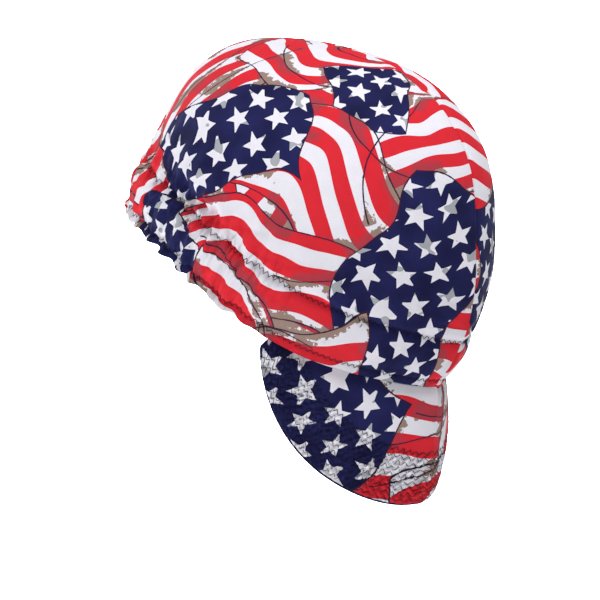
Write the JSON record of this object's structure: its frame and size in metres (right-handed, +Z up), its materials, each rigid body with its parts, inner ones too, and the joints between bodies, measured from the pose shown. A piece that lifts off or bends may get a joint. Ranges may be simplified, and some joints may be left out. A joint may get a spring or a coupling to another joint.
{
  "type": "welding cap",
  "caption": "Soft cotton welding cap: a crown of two half panels joined by a middle seam, a gathered elastic hem and a short quilted peak.",
  "frame": {"origin": "middle of the head opening, at the level of the rim", "axes": "+Z up along the crown, -Y towards the peak, -X towards the wearer's right"},
  "size_m": [0.1767, 0.2413, 0.1905],
  "materials": {
    "crown_cloth": "plain-woven cotton printed with stars and wavy stripes",
    "hem_cloth": "the printed cotton, folded up inside with its printed side to the head",
    "peak_cloth": "printed cotton quilted with rows of navy zigzag stitching"
  },
  "bodies": {
    "root": {"crown_panel_right": "crown_cloth", "crown_panel_left": "crown_cloth", "hem_facing_right": "hem_cloth", "hem_facing_left": "hem_cloth", "peak_upper_ply": "peak_cloth", "peak_under_ply": "peak_cloth"}
  },
  "joints": []
}
